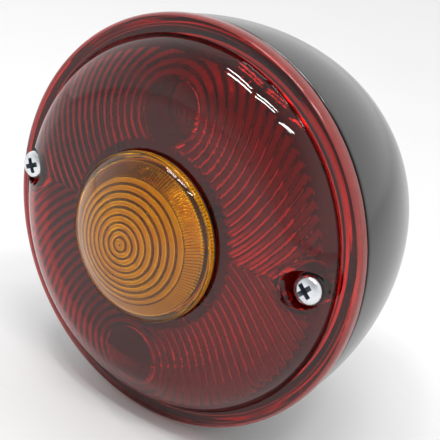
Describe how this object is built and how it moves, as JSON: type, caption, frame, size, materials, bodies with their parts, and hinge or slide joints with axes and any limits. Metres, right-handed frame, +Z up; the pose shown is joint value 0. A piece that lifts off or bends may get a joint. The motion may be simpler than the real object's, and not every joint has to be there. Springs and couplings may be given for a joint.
{
  "type": "trailer tail light",
  "caption": "Round trailer tail light: a deep black bowl with a domed red lens, an amber centre lens, bayonet bulbs and rear studs.",
  "frame": {"origin": "the middle of the bowl's flat rear face", "axes": "+Z up as fitted, the lens faces -Y, and the two lens screws lie along X"},
  "size_m": [0.14, 0.1342, 0.14],
  "materials": {
    "black_housing": "satin moulded ABS",
    "red_lens": "clear red moulded acrylic",
    "amber_lens": "clear amber moulded acrylic",
    "zinc_screw": "bright zinc plate",
    "black_rubber": "moulded rubber",
    "tinplate": "pressed tinplate",
    "cap_brass": "drawn brass",
    "bulb_glass": "clear blown glass",
    "filament_wire": "drawn tungsten and nickel wire",
    "insulating_board": "brown phenolic board",
    "spring_steel": "drawn spring steel",
    "white_nylon": "moulded nylon",
    "red_lead": "PVC insulation",
    "green_lead": "PVC insulation",
    "brown_lead": "PVC insulation",
    "white_lead": "PVC insulation"
  },
  "bodies": {
    "root": {"housing_bowl": "black_housing", "lens_seal": "black_rubber", "carrier_plate": "tinplate", "carrier_screw_left": "zinc_screw", "carrier_screw_right": "zinc_screw", "stop_holder_shell": "tinplate", "stop_contact_spring": "spring_steel", "indicator_holder_shell": "tinplate", "indicator_contact_spring": "spring_steel", "tail_holder_shell": "tinplate", "tail_contact_spring": "spring_steel", "terminal_block": "white_nylon", "terminal_screw_1": "zinc_screw", "terminal_screw_2": "zinc_screw", "terminal_screw_3": "zinc_screw", "terminal_screw_4": "zinc_screw", "stop_lead": "red_lead", "indicator_lead": "green_lead", "tail_lead": "brown_lead", "earth_lead": "white_lead", "cable_grommet": "black_rubber", "mounting_stud_left": "zinc_screw", "spring_washer_left": "spring_steel", "stud_nut_left": "zinc_screw", "mounting_stud_right": "zinc_screw", "spring_washer_right": "spring_steel", "stud_nut_right": "zinc_screw"},
    "lens": {"red_lens": "red_lens", "amber_lens": "amber_lens", "amber_seal": "black_rubber"},
    "screw_seal_left": {"screw_seal_left": "black_rubber"},
    "lens_screw_left": {"lens_screw_left": "zinc_screw"},
    "screw_seal_right": {"screw_seal_right": "black_rubber"},
    "lens_screw_right": {"lens_screw_right": "zinc_screw"},
    "stop_contact": {"stop_contact": "cap_brass", "stop_contact_disc": "insulating_board"},
    "stop_bulb": {"stop_bulb_cap": "cap_brass", "stop_bulb_glass": "bulb_glass", "stop_bulb_filament": "filament_wire"},
    "indicator_contact": {"indicator_contact": "cap_brass", "indicator_contact_disc": "insulating_board"},
    "indicator_bulb": {"indicator_bulb_cap": "cap_brass", "indicator_bulb_glass": "bulb_glass", "indicator_bulb_filament": "filament_wire"},
    "tail_contact": {"tail_contact": "cap_brass", "tail_contact_disc": "insulating_board"},
    "tail_bulb": {"tail_bulb_cap": "cap_brass", "tail_bulb_glass": "bulb_glass", "tail_bulb_filament": "filament_wire"}
  },
  "joints": [
    {"name": "lens_off", "type": "slide", "parent": "root", "child": "lens", "axis": [0, -1, 0], "range_m": [0, 0.07]},
    {"name": "lens_screw_left_backout", "type": "slide", "parent": "lens", "child": "screw_seal_left", "axis": [0, -1, 0], "range_m": [0, 0.0128]},
    {"name": "lens_screw_left_turn", "type": "hinge", "parent": "screw_seal_left", "child": "lens_screw_left", "pos_m": [-0.0572, -0.091, 0.0031], "axis": [0, -1, 0], "range_deg": [0, 2880]},
    {"name": "lens_screw_right_backout", "type": "slide", "parent": "lens", "child": "screw_seal_right", "axis": [0, -1, 0], "range_m": [0, 0.0128]},
    {"name": "lens_screw_right_turn", "type": "hinge", "parent": "screw_seal_right", "child": "lens_screw_right", "pos_m": [0.0572, -0.091, 0.0031], "axis": [0, -1, 0], "range_deg": [0, 2880]},
    {"name": "stop_contact_press", "type": "slide", "parent": "root", "child": "stop_contact", "axis": [0, 1, 0], "range_m": [0, 0.002], "stiffness_N_per_m": 1000, "springref_m": -0.003},
    {"name": "stop_bulb_twist", "type": "hinge", "parent": "stop_contact", "child": "stop_bulb", "pos_m": [0, -0.044, 0.0409], "axis": [0, -1, 0], "range_deg": [0, 20]},
    {"name": "indicator_contact_press", "type": "slide", "parent": "root", "child": "indicator_contact", "axis": [0, 1, 0], "range_m": [0, 0.002], "stiffness_N_per_m": 1000, "springref_m": -0.003},
    {"name": "indicator_bulb_twist", "type": "hinge", "parent": "indicator_contact", "child": "indicator_bulb", "pos_m": [0, -0.044, 0], "axis": [0, -1, 0], "range_deg": [0, 20]},
    {"name": "tail_contact_press", "type": "slide", "parent": "root", "child": "tail_contact", "axis": [0, 1, 0], "range_m": [0, 0.002], "stiffness_N_per_m": 1000, "springref_m": -0.003},
    {"name": "tail_bulb_twist", "type": "hinge", "parent": "tail_contact", "child": "tail_bulb", "pos_m": [0, -0.044, -0.0443], "axis": [0, -1, 0], "range_deg": [0, 20]}
  ],
  "couplings": [
    {"joint": "lens_screw_left_backout", "follows": "lens_screw_left_turn", "m_per_rad": 0.00025465},
    {"joint": "lens_screw_right_backout", "follows": "lens_screw_right_turn", "m_per_rad": 0.00025465}
  ]
}
